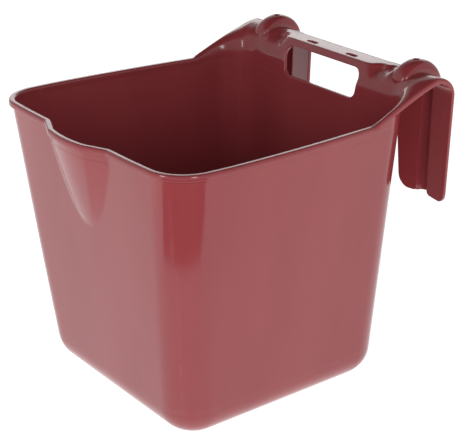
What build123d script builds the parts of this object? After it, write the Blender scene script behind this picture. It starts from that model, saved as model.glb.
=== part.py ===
"""Hang-over feed bucket for a stable: one moulding, drawn as the regions it is made of.

Millimetres. X is the width, -Y is the pouring side, +Y is the side that hangs on the board, Z is up.
The origin is the middle of the underside of the floor.
"""
import os
from math import atan2, cos, degrees, radians, sin

from build123d import *

# Tub: outer faces at the floor and at the rim
RIM_HEIGHT = 270.0
TOP_FRONT_HALF_WIDTH = 152.0
TOP_REAR_HALF_WIDTH = 134.4
TOP_FRONT_Y = -143.5
TOP_REAR_Y = 129.5
TOP_CORNER_RADIUS = 35.5
BASE_FRONT_HALF_WIDTH = 121.4
BASE_REAR_HALF_WIDTH = 110.0
BASE_FRONT_Y = -118.5
BASE_REAR_Y = 118.5
BASE_CORNER_RADIUS = 33.0
BASE_EDGE_RADIUS = 27.0
SIDE_BOW = 6.0            # how far a side swells outwards at the rim, half way along it
FRONT_BOW = 1.5
WALL = 3.0
FLOOR = 4.0
BASE_TOP = 30.0           # height where the floor pan ends and the walls begin

# Rim: the wall's top edge turned outwards and down
RIM_BOTTOM = 262.0
RIM_OVERHANG = 4.5
SKIRT = 2.5
RIM_FLANGE = 3.0

# Pouring spout: half a cone in the front wall
SPOUT_HALF_WIDTH = 56.0
SPOUT_REACH = 15.5
SPOUT_NOSE_HALF_WIDTH = 27.0
SPOUT_NOSE_DEPTH = 2.6
SPOUT_TIP_HEIGHT = 184.0

# Raised back, which leans back and rolls over into the crown of the hooks
CROWN_Y = 153.0
CROWN_HEIGHT = 300.5
SHEET = 3.6
UPRIGHT_REACH = 0.03      # share of the way out, and of the way up, where the sheet starts to roll
UPRIGHT_RISE = 0.83
ROLL_REACH = 0.11         # the same where it is nearly level
ROLL_RISE = 0.96
FLARE_BULGE = 0.88        # at the corners the sheet fans out earlier than at the back
FLARE_END_ANGLE = 7.3     # degrees round the rear corner where the flare meets the straight side
HOLE_HALF_WIDTH_TOP = 59.0
HOLE_HALF_WIDTH_BOTTOM = 53.5
HOLE_TOP = 293.5
HOLE_CORNER_RADIUS = 9.0

# Grip bar above the hand hole
BAR_HALF_LENGTH = 62.0
BAR_BOTTOM = 280.0
BAR_REAR_Y = 160.5
BAR_ROLL_RADIUS = 5.0
BAR_FLANGE_BOTTOM = 291.0
SLOT_LENGTH = 17.0
SLOT_WIDTH = 5.0
SLOT_X = 30.0
SLOT_Y = 143.5

# Hooks
HOOK_INNER_X = 69.8
HOOK_OUTER_X = 141.6
ARCH_RADIUS = 19.5
LEG_SLOPE = 0.064         # how far the leg leans towards the tub for each millimetre down
LEG_BOTTOM = 175.0
LEG_TAPER_START = 245.0
LEG_TAPER = 10.5
LEG_INNER_CORNER = 12.0
LEG_OUTER_CORNER = 9.0
EDGING_START_Y = 76.5
EDGING_START_X = 145.4
EDGING_CURVE = 1.35       # 1 is a straight climb; more levels out towards the crown

# Stiffening rib pressed into each hook, hollow underneath
RIB_X = 106.0
RIB_HALF_WIDTH = 12.0
RIB_TOP_Y = 157.0
RIB_TOP = 311.0
RIB_FRONT_RADIUS = 26.3
RIB_REAR_RADIUS = 30.5
RIB_FRONT_ANGLE = 156.0   # where the rib's front comes down on the sheet
RIB_REAR_ANGLE = 43.0
RIB_EDGE_RADIUS = 7.0
RIB_WALL = 3.4
RIB_HOLE_RADIUS = 3.25

FAR = 400.0
SIDES = {"right": 1.0, "left": -1.0}


def between(low, high, height):
    """A tub size at a height, as the walls are straight from floor to rim."""
    return low + (high - low) * height / RIM_HEIGHT


def tub_outline(height, inset):
    """The tub's outline at a height, moved inwards by inset, in plan."""
    front_x = between(BASE_FRONT_HALF_WIDTH, TOP_FRONT_HALF_WIDTH, height) - inset
    rear_x = between(BASE_REAR_HALF_WIDTH, TOP_REAR_HALF_WIDTH, height) - inset
    front_y = between(BASE_FRONT_Y, TOP_FRONT_Y, height) + inset
    rear_y = between(BASE_REAR_Y, TOP_REAR_Y, height) - inset
    radius = between(BASE_CORNER_RADIUS, TOP_CORNER_RADIUS, height) - inset
    side_x = (front_x + rear_x) / 2 + between(0.0, SIDE_BOW, height)
    middle_y = (front_y + rear_y) / 2
    front_middle_y = front_y - between(0.0, FRONT_BOW, height) - 0.01
    side_x += 0.01
    edges = [
        ThreePointArc((-front_x, front_y), (0, front_middle_y), (front_x, front_y)),
        ThreePointArc((front_x, front_y), (side_x, middle_y), (rear_x, rear_y)),
        Line((rear_x, rear_y), (-rear_x, rear_y)),
        ThreePointArc((-rear_x, rear_y), (-side_x, middle_y), (-front_x, front_y)),
    ]
    return fillet(make_face(edges).vertices(), radius)


def tub_section(height, inset):
    """The tub's outline lifted to its height."""
    return Pos(0, 0, height) * tub_outline(height, inset)


def tub_solid(floor_height, inset, edge_radius):
    """The tub as a full block, rounded along the bottom edge."""
    bottom = tub_section(floor_height, inset)
    top = tub_section(RIM_HEIGHT + 1, inset)
    block = loft([bottom, top], ruled=True)
    return fillet(block.faces().sort_by(Axis.Z)[0].edges(), edge_radius)


def spout_section(inset, height):
    """The spout's outline at a height: a rounded nose between two straight flanks, in plan."""
    wall_y = TOP_FRONT_Y - FRONT_BOW + inset
    nose_y = wall_y - SPOUT_REACH
    root_x = SPOUT_HALF_WIDTH - inset
    nose_x = SPOUT_NOSE_HALF_WIDTH - inset / 2
    back_y = wall_y + WALL / 2 + inset
    flank_y = nose_y + SPOUT_NOSE_DEPTH
    tip_y = between(BASE_FRONT_Y, TOP_FRONT_Y, SPOUT_TIP_HEIGHT) + inset + WALL / 2
    size = (height - SPOUT_TIP_HEIGHT - inset) / (RIM_HEIGHT + 1 - SPOUT_TIP_HEIGHT - inset)

    def at(x, y):
        return (x * size, tip_y + (y - tip_y) * size)

    edges = [
        Line(at(-root_x, back_y), at(-root_x, wall_y)),
        Line(at(-root_x, wall_y), at(-nose_x, flank_y)),
        ThreePointArc(at(-nose_x, flank_y), at(0, nose_y), at(nose_x, flank_y)),
        Line(at(nose_x, flank_y), at(root_x, wall_y)),
        Line(at(root_x, wall_y), at(root_x, back_y)),
        Line(at(root_x, back_y), at(-root_x, back_y)),
    ]
    return make_face(edges)


def spout_cone(inset):
    """The spout as a full half-cone, from just above the rim down to its tip."""
    tip_y = between(BASE_FRONT_Y, TOP_FRONT_Y, SPOUT_TIP_HEIGHT) + inset + WALL / 2
    top_z = RIM_HEIGHT + 1
    tip = Vertex(0, tip_y, SPOUT_TIP_HEIGHT + inset)
    return loft([Pos(0, 0, top_z) * spout_section(inset, top_z), tip], ruled=True)


def slab(low, high):
    """A block from floor level low to level high, larger than the object."""
    return Pos(0, 0, (low + high) / 2) * Box(2 * FAR, 2 * FAR, high - low)


def side_sector(side):
    """The quarter of the plan that one wall takes, cut through the corners."""
    turns = {"front": 0, "right": 1, "rear": 2, "left": 3}
    points = [(0, 0), (-FAR, -FAR), (FAR, -FAR)]
    sector = make_face(Polyline(*points, close=True))
    return extrude(Rot(0, 0, 90 * turns[side]) * sector, 2 * FAR)


def spout_cutter():
    """The part of the front that the spout takes, seen from the front."""
    half_tip = 8.0
    points = [
        (-SPOUT_HALF_WIDTH - 1, RIM_HEIGHT + 2),
        (-half_tip, SPOUT_TIP_HEIGHT - 1),
        (half_tip, SPOUT_TIP_HEIGHT - 1),
        (SPOUT_HALF_WIDTH + 1, RIM_HEIGHT + 2),
    ]
    return extrude(Plane.XZ * make_face(Polyline(*points, close=True)), FAR)


def rim_ring(outside, inside):
    """The turned-over rim as a full ring, with the groove between wall and skirt."""
    height = RIM_HEIGHT - RIM_BOTTOM
    edge = offset(outside, RIM_OVERHANG, kind=Kind.ARC)
    skirt_inside = offset(outside, RIM_OVERHANG - SKIRT, kind=Kind.ARC)
    ring = extrude(edge - inside, height, dir=(0, 0, 1))
    return ring - extrude(skirt_inside - outside, height - RIM_FLANGE, dir=(0, 0, 1))


def rear_corner():
    """Centre and radius of the tub's round rear corner at the top of the walls."""
    arcs = tub_outline(RIM_BOTTOM, 0).edges().filter_by(GeomType.CIRCLE)
    corners = arcs.sort_by(lambda edge: edge.radius)[:4]
    corner = corners.sort_by(lambda edge: edge.arc_center.X + edge.arc_center.Y)[-1]
    return corner.arc_center, corner.radius


def edging_height(y):
    """Height of the outer edge where it climbs from the rim to the crown."""
    run = (y - EDGING_START_Y) / (CROWN_Y - EDGING_START_Y)
    return RIM_HEIGHT + (CROWN_HEIGHT - RIM_HEIGHT) * (1 - (1 - run) ** EDGING_CURVE)


def edging_slope():
    """How much the outer edge moves sideways for each millimetre towards the crown."""
    return (HOOK_OUTER_X - EDGING_START_X) / (CROWN_Y - EDGING_START_Y)


def edging_x(y):
    """Distance of the outer edge from the middle, as it narrows towards the crown."""
    return EDGING_START_X + edging_slope() * (y - EDGING_START_Y)


def sheet_lines(inner_start, outer_start, end, bulge):
    """Front and back lines of a sheet that rises and rolls outwards, in (reach, height).

    bulge is 1 where the sheet stays upright until it is high, and less where it fans out early.
    """
    rise = end[1] - RIM_BOTTOM
    reach = end[0] - inner_start
    roll = ROLL_REACH + 0.5 * (1 - bulge)

    def line(start, drop):
        return [
            (start, RIM_BOTTOM),
            (start + UPRIGHT_REACH * reach, RIM_BOTTOM + UPRIGHT_RISE * bulge * rise - 0.8 * drop),
            (start + roll * reach, RIM_BOTTOM + ROLL_RISE * rise - 0.8 * drop),
            (end[0], end[1] - drop),
        ]

    return line(inner_start, 0), line(outer_start, SHEET)


def sheet_slice(plane, lines):
    """One upright slice of a sheet, closed between its front and back lines."""
    front = [plane.from_local_coords(Vector(x, z, 0)) for x, z in lines[0]]
    back = [plane.from_local_coords(Vector(x, z, 0)) for x, z in lines[1]]
    edges = [
        Bezier(*front),
        Line(front[-1], back[-1]),
        Bezier(*back[::-1]),
        Line(back[0], front[0]),
    ]
    return Face(Wire(edges))


def upright_plane(x, y, angle):
    """An upright plane through (x, y): its first axis points out at an angle in plan, its second up."""
    return Plane(origin=(x, y, 0), x_dir=(cos(angle), sin(angle), 0), z_dir=(sin(angle), -cos(angle), 0))


def side_wall_x(y):
    """Outer face of the side wall at the top of the walls."""
    cut = tub_section(RIM_BOTTOM, 0) & Pos(FAR / 2, y, RIM_BOTTOM) * Rectangle(FAR, 0.02)
    return cut.bounding_box().max.X


def flare_sections():
    """Upright slices of the rear corner's sheet, from the back round to the side wall."""
    corner, radius = rear_corner()
    end_x = edging_x(CROWN_Y) - SKIRT
    crown_reach = CROWN_Y - corner.Y
    turn = atan2(crown_reach, end_x - corner.X)
    last = radians(FLARE_END_ANGLE)
    crown_angles = [radians(90) + (turn - radians(90)) * step / 4 for step in range(5)]
    edge_angles = [turn + (last - turn) * step / 5 for step in range(6)]
    crown = []
    for angle in crown_angles:
        end = (crown_reach / sin(angle), CROWN_HEIGHT)
        bulge = 1 - (1 - FLARE_BULGE) * (radians(90) - angle) / (radians(90) - turn)
        lines = sheet_lines(radius - WALL, radius, end, bulge)
        crown.append(sheet_slice(upright_plane(corner.X, corner.Y, angle), lines))
    edge = []
    slope = edging_slope()
    start_x = edging_x(corner.Y) - SKIRT - corner.X
    for angle in edge_angles:
        reach = start_x / (cos(angle) - slope * sin(angle))
        height = edging_height(min(CROWN_Y, corner.Y + reach * sin(angle)))
        lines = sheet_lines(radius - WALL, radius, (reach, height), FLARE_BULGE)
        edge.append(sheet_slice(upright_plane(corner.X, corner.Y, angle), lines))
    for y in (90.0, 83.0, EDGING_START_Y):
        wall_x = side_wall_x(y)
        end = (edging_x(y) - SKIRT, edging_height(y))
        lines = sheet_lines(wall_x - WALL, wall_x, end, FLARE_BULGE)
        edge.append(sheet_slice(upright_plane(0, y, 0), lines))
    return crown, edge


def yz_face(*edges):
    """A face in the upright plane through the middle, from edges given in (y, height)."""
    return Plane.YZ * make_face(edges)


def spread(face, low_x, high_x):
    """An upright (y, height) face extruded between two distances from the middle."""
    return Pos(low_x, 0, 0) * extrude(face, high_x - low_x)


def header_face():
    """The raised back's sheet, from the top of the rear wall to the crown."""
    rear_y = between(BASE_REAR_Y, TOP_REAR_Y, RIM_BOTTOM)
    front, back = sheet_lines(rear_y - WALL, rear_y, (CROWN_Y, CROWN_HEIGHT), 1.0)
    return yz_face(
        Bezier(*front), Line(front[-1], back[-1]), Bezier(*back[::-1]), Line(back[0], front[0])
    )


def arc_points(centre, radius, *angles):
    """Points on a circle at angles in degrees."""
    return [(centre[0] + radius * cos(radians(a)), centre[1] + radius * sin(radians(a))) for a in angles]


def leg_foot(start):
    """The point at the bottom of a leg straight below start, allowing for the leg's lean."""
    return (start[0] - LEG_SLOPE * (start[1] - LEG_BOTTOM), LEG_BOTTOM)


def strap_face():
    """The hook's strap: over the crown and down the leg."""
    centre = (CROWN_Y, CROWN_HEIGHT - ARCH_RADIUS)
    lean = -degrees(LEG_SLOPE)
    outer = arc_points(centre, ARCH_RADIUS, 90, 45, lean)
    inner = arc_points(centre, ARCH_RADIUS - SHEET, 90, 45, lean)
    return yz_face(
        ThreePointArc(*outer),
        Line(outer[-1], leg_foot(outer[-1])),
        Line(leg_foot(outer[-1]), leg_foot(inner[-1])),
        Line(leg_foot(inner[-1]), inner[-1]),
        ThreePointArc(*inner[::-1]),
        Line(inner[0], outer[0]),
    )


def rib_arcs(inset):
    """The rib's outer line in (y, height): up the front, over the top, down to the leg."""
    front_centre = (RIB_TOP_Y, RIB_TOP - RIB_FRONT_RADIUS)
    rear_centre = (RIB_TOP_Y, RIB_TOP - RIB_REAR_RADIUS)
    front = arc_points(front_centre, RIB_FRONT_RADIUS - inset, RIB_FRONT_ANGLE - inset * 3, 120, 90)
    rear = arc_points(rear_centre, RIB_REAR_RADIUS - inset, 90, RIB_REAR_ANGLE, -degrees(LEG_SLOPE))
    return front, rear


def rib_blank_face():
    """Side view of the rib with the sheet below it, down to the sheet's own underside."""
    front, rear = rib_arcs(0)
    centre = (CROWN_Y, CROWN_HEIGHT - ARCH_RADIUS)
    under = arc_points(centre, ARCH_RADIUS - SHEET, -degrees(LEG_SLOPE), 45, 90)
    middle = CROWN_HEIGHT - SHEET / 2
    seat = [under[-1], (CROWN_Y, middle), (138.0, middle - 2.2), (134.0, middle - 4.5), front[0]]
    return yz_face(
        ThreePointArc(*front),
        ThreePointArc(*rear),
        Line(rear[-1], leg_foot(rear[-1])),
        Line(leg_foot(rear[-1]), leg_foot(under[0])),
        Line(leg_foot(under[0]), under[0]),
        ThreePointArc(*under),
        Polyline(*seat),
    )


def rib_core_face():
    """Side view of the hollow under the rib, which also opens the sheet below it."""
    front, rear = rib_arcs(RIB_WALL)
    foot = leg_foot(rear[-1])
    low = (foot[0], LEG_BOTTOM - 5)
    under = [low, (foot[0] - 24, LEG_BOTTOM - 5), (160.0, 270.0), (153.0, 288.0), (front[0][0], 288.0)]
    return yz_face(
        ThreePointArc(*front),
        ThreePointArc(*rear),
        Line(rear[-1], foot),
        Line(foot, low),
        Polyline(*under, front[0]),
    )


def hand_hole():
    """The hand hole, cut straight back: wider at the top, with round corners."""
    outline = [
        (-HOLE_HALF_WIDTH_BOTTOM, RIM_BOTTOM),
        (HOLE_HALF_WIDTH_BOTTOM, RIM_BOTTOM),
        (HOLE_HALF_WIDTH_TOP, HOLE_TOP),
        (-HOLE_HALF_WIDTH_TOP, HOLE_TOP),
    ]
    shape = fillet(make_face(Polyline(*outline, close=True)).vertices(), HOLE_CORNER_RADIUS)
    return extrude(Plane.XZ * shape, -FAR)


def bar_roll_face():
    """The grip bar's rear edge, rolled over into a short flange."""
    inner_y = BAR_REAR_Y - SHEET
    points = [
        (CROWN_Y, CROWN_HEIGHT),
        (BAR_REAR_Y, CROWN_HEIGHT),
        (BAR_REAR_Y, BAR_FLANGE_BOTTOM),
        (inner_y, BAR_FLANGE_BOTTOM),
        (inner_y, CROWN_HEIGHT - SHEET),
        (CROWN_Y, CROWN_HEIGHT - SHEET),
    ]
    face = make_face(Polyline(*points, close=True))
    outside = face.vertices().sort_by(lambda v: v.X + v.Y)[-1]
    return Plane.YZ * fillet(outside, BAR_ROLL_RADIUS)


def leg_outline():
    """The hooks seen from behind: the leg narrows towards its foot and has round corners."""
    points = [
        (HOOK_INNER_X, CROWN_HEIGHT + 20),
        (HOOK_INNER_X, LEG_TAPER_START),
        (HOOK_INNER_X + LEG_TAPER, LEG_BOTTOM),
        (HOOK_OUTER_X, LEG_BOTTOM),
        (HOOK_OUTER_X, CROWN_HEIGHT + 20),
    ]
    face = make_face(Polyline(*points, close=True))
    feet = face.vertices().sort_by(Axis.Y)[:2].sort_by(Axis.X)
    face = fillet(feet[0], LEG_INNER_CORNER)
    foot = face.vertices().sort_by(lambda v: v.Y - v.X)[0]
    return extrude(Plane.XZ * fillet(foot, LEG_OUTER_CORNER), -FAR)


def edging():
    """The turned-down edge that climbs from the rim to the crown, thinning as it goes."""
    sections = []
    for step in range(9):
        y = EDGING_START_Y + (CROWN_Y - EDGING_START_Y) * step / 8
        depth = (RIM_HEIGHT - RIM_BOTTOM) + (SHEET - RIM_HEIGHT + RIM_BOTTOM) * step / 8
        top = edging_height(y)
        x = edging_x(y)
        corners = [(x - SKIRT, y, top - depth), (x, y, top - depth), (x, y, top), (x - SKIRT, y, top)]
        sections.append(Face(Wire.make_polygon([Vector(*c) for c in corners])))
    return Solid.make_loft([s.outer_wire() for s in sections], ruled=True)


def tub_regions():
    """Floor pan, four walls, spout and rim, cut from the tub's shell."""
    outside = tub_solid(0, 0, BASE_EDGE_RADIUS) + spout_cone(0)
    inside = tub_solid(FLOOR, WALL, BASE_EDGE_RADIUS - WALL) + spout_cone(WALL)
    shell = outside - inside
    parts = {"floor_pan": shell & slab(-1, BASE_TOP)}
    walls = shell & slab(BASE_TOP, RIM_BOTTOM)
    parts["pour_spout"] = walls & spout_cutter()
    walls -= spout_cutter()
    for side in ("front", "right", "rear", "left"):
        parts[side + "_wall"] = walls & side_sector(side)
    outline = tub_outline(RIM_BOTTOM, 0) + spout_section(0, RIM_BOTTOM)
    mouth = tub_outline(RIM_BOTTOM, WALL) + spout_section(WALL, RIM_BOTTOM)
    ring = Pos(0, 0, RIM_BOTTOM) * rim_ring(outline, mouth)
    spout_x = SPOUT_HALF_WIDTH + 3
    split_y = -100.0
    tall = 4 * FAR
    parts["spout_lip"] = ring & Pos(0, -FAR / 2, 0) * Box(2 * spout_x, FAR, tall)
    for name, sign in SIDES.items():
        front = Pos(sign * (spout_x + FAR / 2), split_y - FAR / 2, 0) * Box(FAR, FAR, tall)
        length = EDGING_START_Y - split_y
        run = Pos(sign * FAR / 2, split_y + length / 2, 0) * Box(FAR, length, tall)
        parts["front_" + name + "_rim"] = ring & front
        parts[name + "_rim"] = ring & run
    return parts


def hanger_regions():
    """Raised back, grip bar and the right-hand hook; the left hook is its mirror."""
    parts = {}
    corner, _ = rear_corner()
    header = spread(header_face(), -corner.X, corner.X) - hand_hole()
    bar_space = Box(2 * BAR_HALF_LENGTH, 2 * FAR, FAR)
    bar_space = Pos(0, 0, BAR_BOTTOM + FAR / 2) * bar_space
    slot = SlotOverall(SLOT_LENGTH, SLOT_WIDTH)
    bar = (header & bar_space) + spread(bar_roll_face(), -HOOK_INNER_X, HOOK_INNER_X)
    for sign in (-1, 1):
        bar -= extrude(Pos(sign * SLOT_X, SLOT_Y, RIM_HEIGHT) * slot, 50)
    parts["grip_bar"] = bar
    right_half = Pos(FAR / 2, 0, 0) * Box(FAR, 2 * FAR, 4 * FAR)
    crown, edge = flare_sections()
    flare = [Solid.make_loft([f.outer_wire() for f in run], ruled=True) for run in (crown, edge)]
    core_low = RIB_X - RIB_HALF_WIDTH + RIB_WALL
    core_high = RIB_X + RIB_HALF_WIDTH - RIB_WALL
    core = spread(rib_core_face(), core_low, core_high)
    shoulder = ((header - bar_space) & right_half) + flare[0] + flare[1]
    parts["right_shoulder"] = shoulder - core
    parts["right_edging"] = edging()
    strap_band = strap_face()
    outline = leg_outline()
    low, high = RIB_X - RIB_HALF_WIDTH, RIB_X + RIB_HALF_WIDTH
    parts["right_hook_inner_strap"] = spread(strap_band, HOOK_INNER_X, low) & outline
    parts["right_hook_outer_strap"] = spread(strap_band, high, HOOK_OUTER_X) & outline
    blank = spread(rib_blank_face(), low, high)
    blank = fillet(rib_edges(blank, low, high), RIB_EDGE_RADIUS)
    rib = blank - shoulder - core
    hole = Pos(RIB_X, RIB_TOP_Y, RIB_TOP) * Cylinder(RIB_HOLE_RADIUS, 16)
    parts["right_hook_rib"] = rib - hole
    return parts


def rib_edges(blank, low, high):
    """The two long outside edges of the rib."""
    outside = []
    for edge in blank.edges():
        middle = edge @ 0.5
        on_side = min(abs(middle.X - low), abs(middle.X - high)) < 0.01
        drop = CROWN_HEIGHT - middle.Z
        outer = middle.Z > CROWN_HEIGHT or middle.Y > CROWN_Y + ARCH_RADIUS + 2 - LEG_SLOPE * drop
        if on_side and outer and abs((edge % 0.5).X) < 0.5:
            outside.append(edge)
    return outside


def main():
    os.makedirs("parts", exist_ok=True)
    parts = tub_regions()
    for name, shape in hanger_regions().items():
        parts[name] = shape
        if name.startswith("right_"):
            parts[name.replace("right_", "left_", 1)] = mirror(shape, about=Plane.YZ)
    for name, shape in parts.items():
        export_step(shape, "parts/" + name + ".step")


main()
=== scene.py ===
"""Hang-over feed bucket: the look of one glossy burgundy moulding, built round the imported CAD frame.

The moulding is one thin shell. It is drawn as two matching skins, the side that faces up or into the tub
("top") and the side that faces down or out of it ("back"), joined along every free edge by a rounded
edge strip. It is then cut into one closed piece for each CAD node, with the shell's own normals kept, so
that the cuts don't show. A grid holds a (top, back) pair of points at every row and column.

Lengths in the shape code are millimetres. X is the width, -Y the spout, +Y the hooks, Z up.
"""
import functools
import math

import bpy
import numpy as np
from mathutils import Matrix, Vector


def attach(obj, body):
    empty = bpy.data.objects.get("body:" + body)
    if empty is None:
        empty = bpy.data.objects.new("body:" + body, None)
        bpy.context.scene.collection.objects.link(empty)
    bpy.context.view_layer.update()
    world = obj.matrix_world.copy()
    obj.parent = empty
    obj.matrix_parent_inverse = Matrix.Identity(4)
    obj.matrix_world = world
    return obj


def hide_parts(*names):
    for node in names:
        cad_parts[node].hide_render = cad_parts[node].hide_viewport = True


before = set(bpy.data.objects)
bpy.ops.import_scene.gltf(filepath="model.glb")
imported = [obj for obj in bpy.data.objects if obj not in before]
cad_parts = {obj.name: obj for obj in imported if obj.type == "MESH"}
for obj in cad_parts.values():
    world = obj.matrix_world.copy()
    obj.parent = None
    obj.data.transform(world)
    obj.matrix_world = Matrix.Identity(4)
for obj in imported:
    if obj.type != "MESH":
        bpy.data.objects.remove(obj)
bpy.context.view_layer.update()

MM = 0.001
TINY = 1e-9
RIGHT_ANGLE = math.pi / 2

# Tub
RIM_Z = 270.0
JOIN_Z = 256.0            # where the walls' grid hands over to the rim's and the raised back's
WALL_TOP_Z = 262.0
PAN_Z = 30.0              # where the floor pan's region ends
TOP_SIZE = {"front_x": 152.0, "rear_x": 134.4, "front_y": -143.5, "rear_y": 129.5, "radius": 35.5,
            "side_bow": 6.0, "front_bow": 1.5}
BASE_SIZE = {"front_x": 121.4, "rear_x": 110.0, "front_y": -118.5, "rear_y": 118.5, "radius": 33.0,
             "side_bow": 0.01, "front_bow": 0.01}
BASE_EDGE = 27.0          # radius of the edge between floor and walls
WALL = 3.0
FLOOR = 4.0
FLOOR_RINGS = (0.0, 0.12, 0.26, 0.4, 0.55, 0.7, 0.85, 1.0)

# Spout
SPOUT_HALF = 54.0
SPOUT_REACH = 13.4
SPOUT_NOSE = 0.52         # half width of its blunt nose, as a share
SPOUT_NOSE_FALL = 0.2
SPOUT_TIP_Z = 182.5
SPOUT_WIDTH_POWER = 0.5
SPOUT_REACH_POWER = 0.85
SPOUT_SOFT = 1.8          # how far the creases at the spout's ridges and roots are softened
SPOUT_TIP_SOFT = 2.0
SPOUT_BLUR = (-1.0, -0.5, 0.0, 0.5, 1.0)
SPOUT_PART_HALF = 8.0     # half width of the spout's region at its tip
LIP_HALF = SPOUT_HALF + 3
FRONT_RIM_Y = -100.0      # where the front rims meet the side rims

# Rim and edge strips
RIM_TOP_OUT = 4.5         # from the inner face out to where the edge strip begins
RIM_DEPTH = 5.8
CORNER_EASE = 1.3         # how far the front corners are eased in at the rim
CORNER_FROM, CORNER_RUN = 0.55, 0.3   # where that begins and how soon it is full, 1 being the corner
EDGE_WIDTH, EDGE_ROLL = 2.2, 1.9
THIN_EDGE, THIN_ROLL = 1.3, 1.1   # on plain sheet edges
BEAD_FALL = 1.6           # how much further than its roll a skirted edge rounds over

# Raised back and hooks
SHEET = 3.6
CROWN_Y, CROWN_Z = 153.0, 300.5
BACK_SETTLE = 0.972       # the raised back's height above the rim is scaled by this
EDGING_Y, EDGING_X = 76.5, 144.6
EDGING_CURVE = 1.22
HOOK_IN_X, HOOK_OUT_X = 69.0, 141.6
HOOK_DEPTH = 5.4          # how deep the outer edge is turned in where the arch begins
HOOK_DEPTH_RUN = 25.0     # length of arch over which that edge thins to plain sheet
EDGING_SLOPE = (HOOK_OUT_X - EDGING_X) / (CROWN_Y - EDGING_Y)
ARCH_R = 19.5
ARCH_Z = CROWN_Z - ARCH_R
ARCH_STEPS = 8            # rows shared by the bar's rear roll and the arch
ARCH_SHARED = [RIGHT_ANGLE - k * (RIGHT_ANGLE - 0.98) / ARCH_STEPS for k in range(ARCH_STEPS + 1)]
LEG_LEAN = 0.064
LEG_FOOT = 175.5
LEG_TAPER_Z, LEG_TAPER = 245.0, 8.5   # the leg's inner edge runs outwards from this height to the foot
LEAN = math.atan(LEG_LEAN)
BEND = ARCH_R * (RIGHT_ANGLE + LEAN)  # length of the arch along its outer face
LEG_LENGTH = BEND + (ARCH_Z - ARCH_R * math.sin(LEAN) - LEG_FOOT) / math.cos(LEAN)
FOOT_CORNERS = {"inner": (12.0 - THIN_EDGE, 1.5), "outer": (3.5, 9.0 - THIN_EDGE)}
SAG_TOP, SAG_FOOT = 4.2, 7.4          # how far a hook's leg is bowed back beside its channel
SAG_IN, SAG_OUT = 0.33, 0.22          # shares of that at the hook's side edges

# Ribs
RIB_X = 106.0
RIB_TOP_Y, RIB_TOP = 156.6, 310.8
RIB_FRONT_R, RIB_REAR_R = 26.0, 28.0
RIB_LEAN = 0.033
RIB_HALF = 10.3
RIB_POWER = 2 / 2.7       # the section is a little squarer than an ellipse
RIB_SEAT = 1.2            # how far the ribs' sides are sunk into the hook's sheet
RIB_NOSE, RIB_NOSE_RUN, CHANNEL_NOSE = np.radians([157, 26, 146])
RIB_HOLE_R, RIB_HOLE_EDGE = 3.25, 0.7
RIB_HOLE_Z = RIB_TOP - 0.25
CHANNEL_HALF = 6.9
NOTCH_HALF = CHANNEL_HALF + THIN_EDGE
NOTCH_IN, NOTCH_OUT = RIB_X - NOTCH_HALF, RIB_X + NOTCH_HALF

# Grip bar, hand hole and slots
BAR_HALF = 62.0
BAR_PART_Z = 280.0        # where the bar's region begins
BAR_TOP, BAR_UNDER = 300.2, 296.6
HOLE_TOP_HALF, HOLE_BOTTOM_HALF = 58.2, 52.4
HOLE_LOW, HOLE_HIGH, HOLE_CORNER, HOLE_EDGE = 262.9, 294.7, 10.6, 1.2
SLOT_X, SLOT_Y = 30.0, 143.6
SLOT_LENGTH, SLOT_WIDTH, SLOT_EDGE = 17.0, 5.0, 0.8
SLOT_SPREAD = np.array([10.0, 4.2])   # half size of the slot's window in the grid
SLOT_ROWS = (139.8, 147.6)            # y between which that window's rows lie
HOLE_ROWS = (136.0, 297.6)            # the hand hole's window ends in front of this y and below this z
NOTCH_ROWS = 138.0                    # the notches for the ribs begin behind this y

# Places (from x, to x, from y, to y) where a free edge is the hand hole's, a slot's or a rib's notch's
HOLE_EDGES = (-1.0, BAR_HALF, 126.0, 140.0)
SLOT_EDGES = (SLOT_X - 12, SLOT_X + 12, 138.0, 149.0)
NOTCH_EDGES = (NOTCH_IN - 0.3, NOTCH_OUT + 0.3, 134.0, 400.0)


# ---------------------------------------------------------------- shape helpers

def clip(t):
    return min(1.0, max(0.0, t))


def smooth(t):
    t = clip(t)
    return t * t * (3 - 2 * t)


def unit(v):
    return v / max(np.linalg.norm(v), TINY)


def heading(v):
    return math.atan2(v[1], v[0])


def lift(xy, z):
    return np.array([xy[0], xy[1], z])


def size_at(key, z):
    return BASE_SIZE[key] + (TOP_SIZE[key] - BASE_SIZE[key]) * z / RIM_Z


def circle_through(p, q, r):
    """Centre and radius of the circle through three points in plan."""
    ax, ay, bx, by, cx, cy = *p, *q, *r
    d = 2 * (ax * (by - cy) + bx * (cy - ay) + cx * (ay - by))
    a2, b2, c2 = ax * ax + ay * ay, bx * bx + by * by, cx * cx + cy * cy
    ux = (a2 * (by - cy) + b2 * (cy - ay) + c2 * (ay - by)) / d
    uy = (a2 * (cx - bx) + b2 * (ax - cx) + c2 * (bx - ax)) / d
    return np.array([ux, uy]), math.hypot(ax - ux, ay - uy)


def circles_meet(c0, r0, c1, r1):
    """Where two circles cross, on the +X -Y side."""
    d = c1 - c0
    dist = np.linalg.norm(d)
    along = (r0 * r0 - r1 * r1 + dist * dist) / (2 * dist)
    mid = c0 + d * along / dist
    side = np.array([-d[1], d[0]]) / dist * math.sqrt(r0 * r0 - along * along)
    return max(mid + side, mid - side, key=lambda p: p[0] - p[1])


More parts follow.
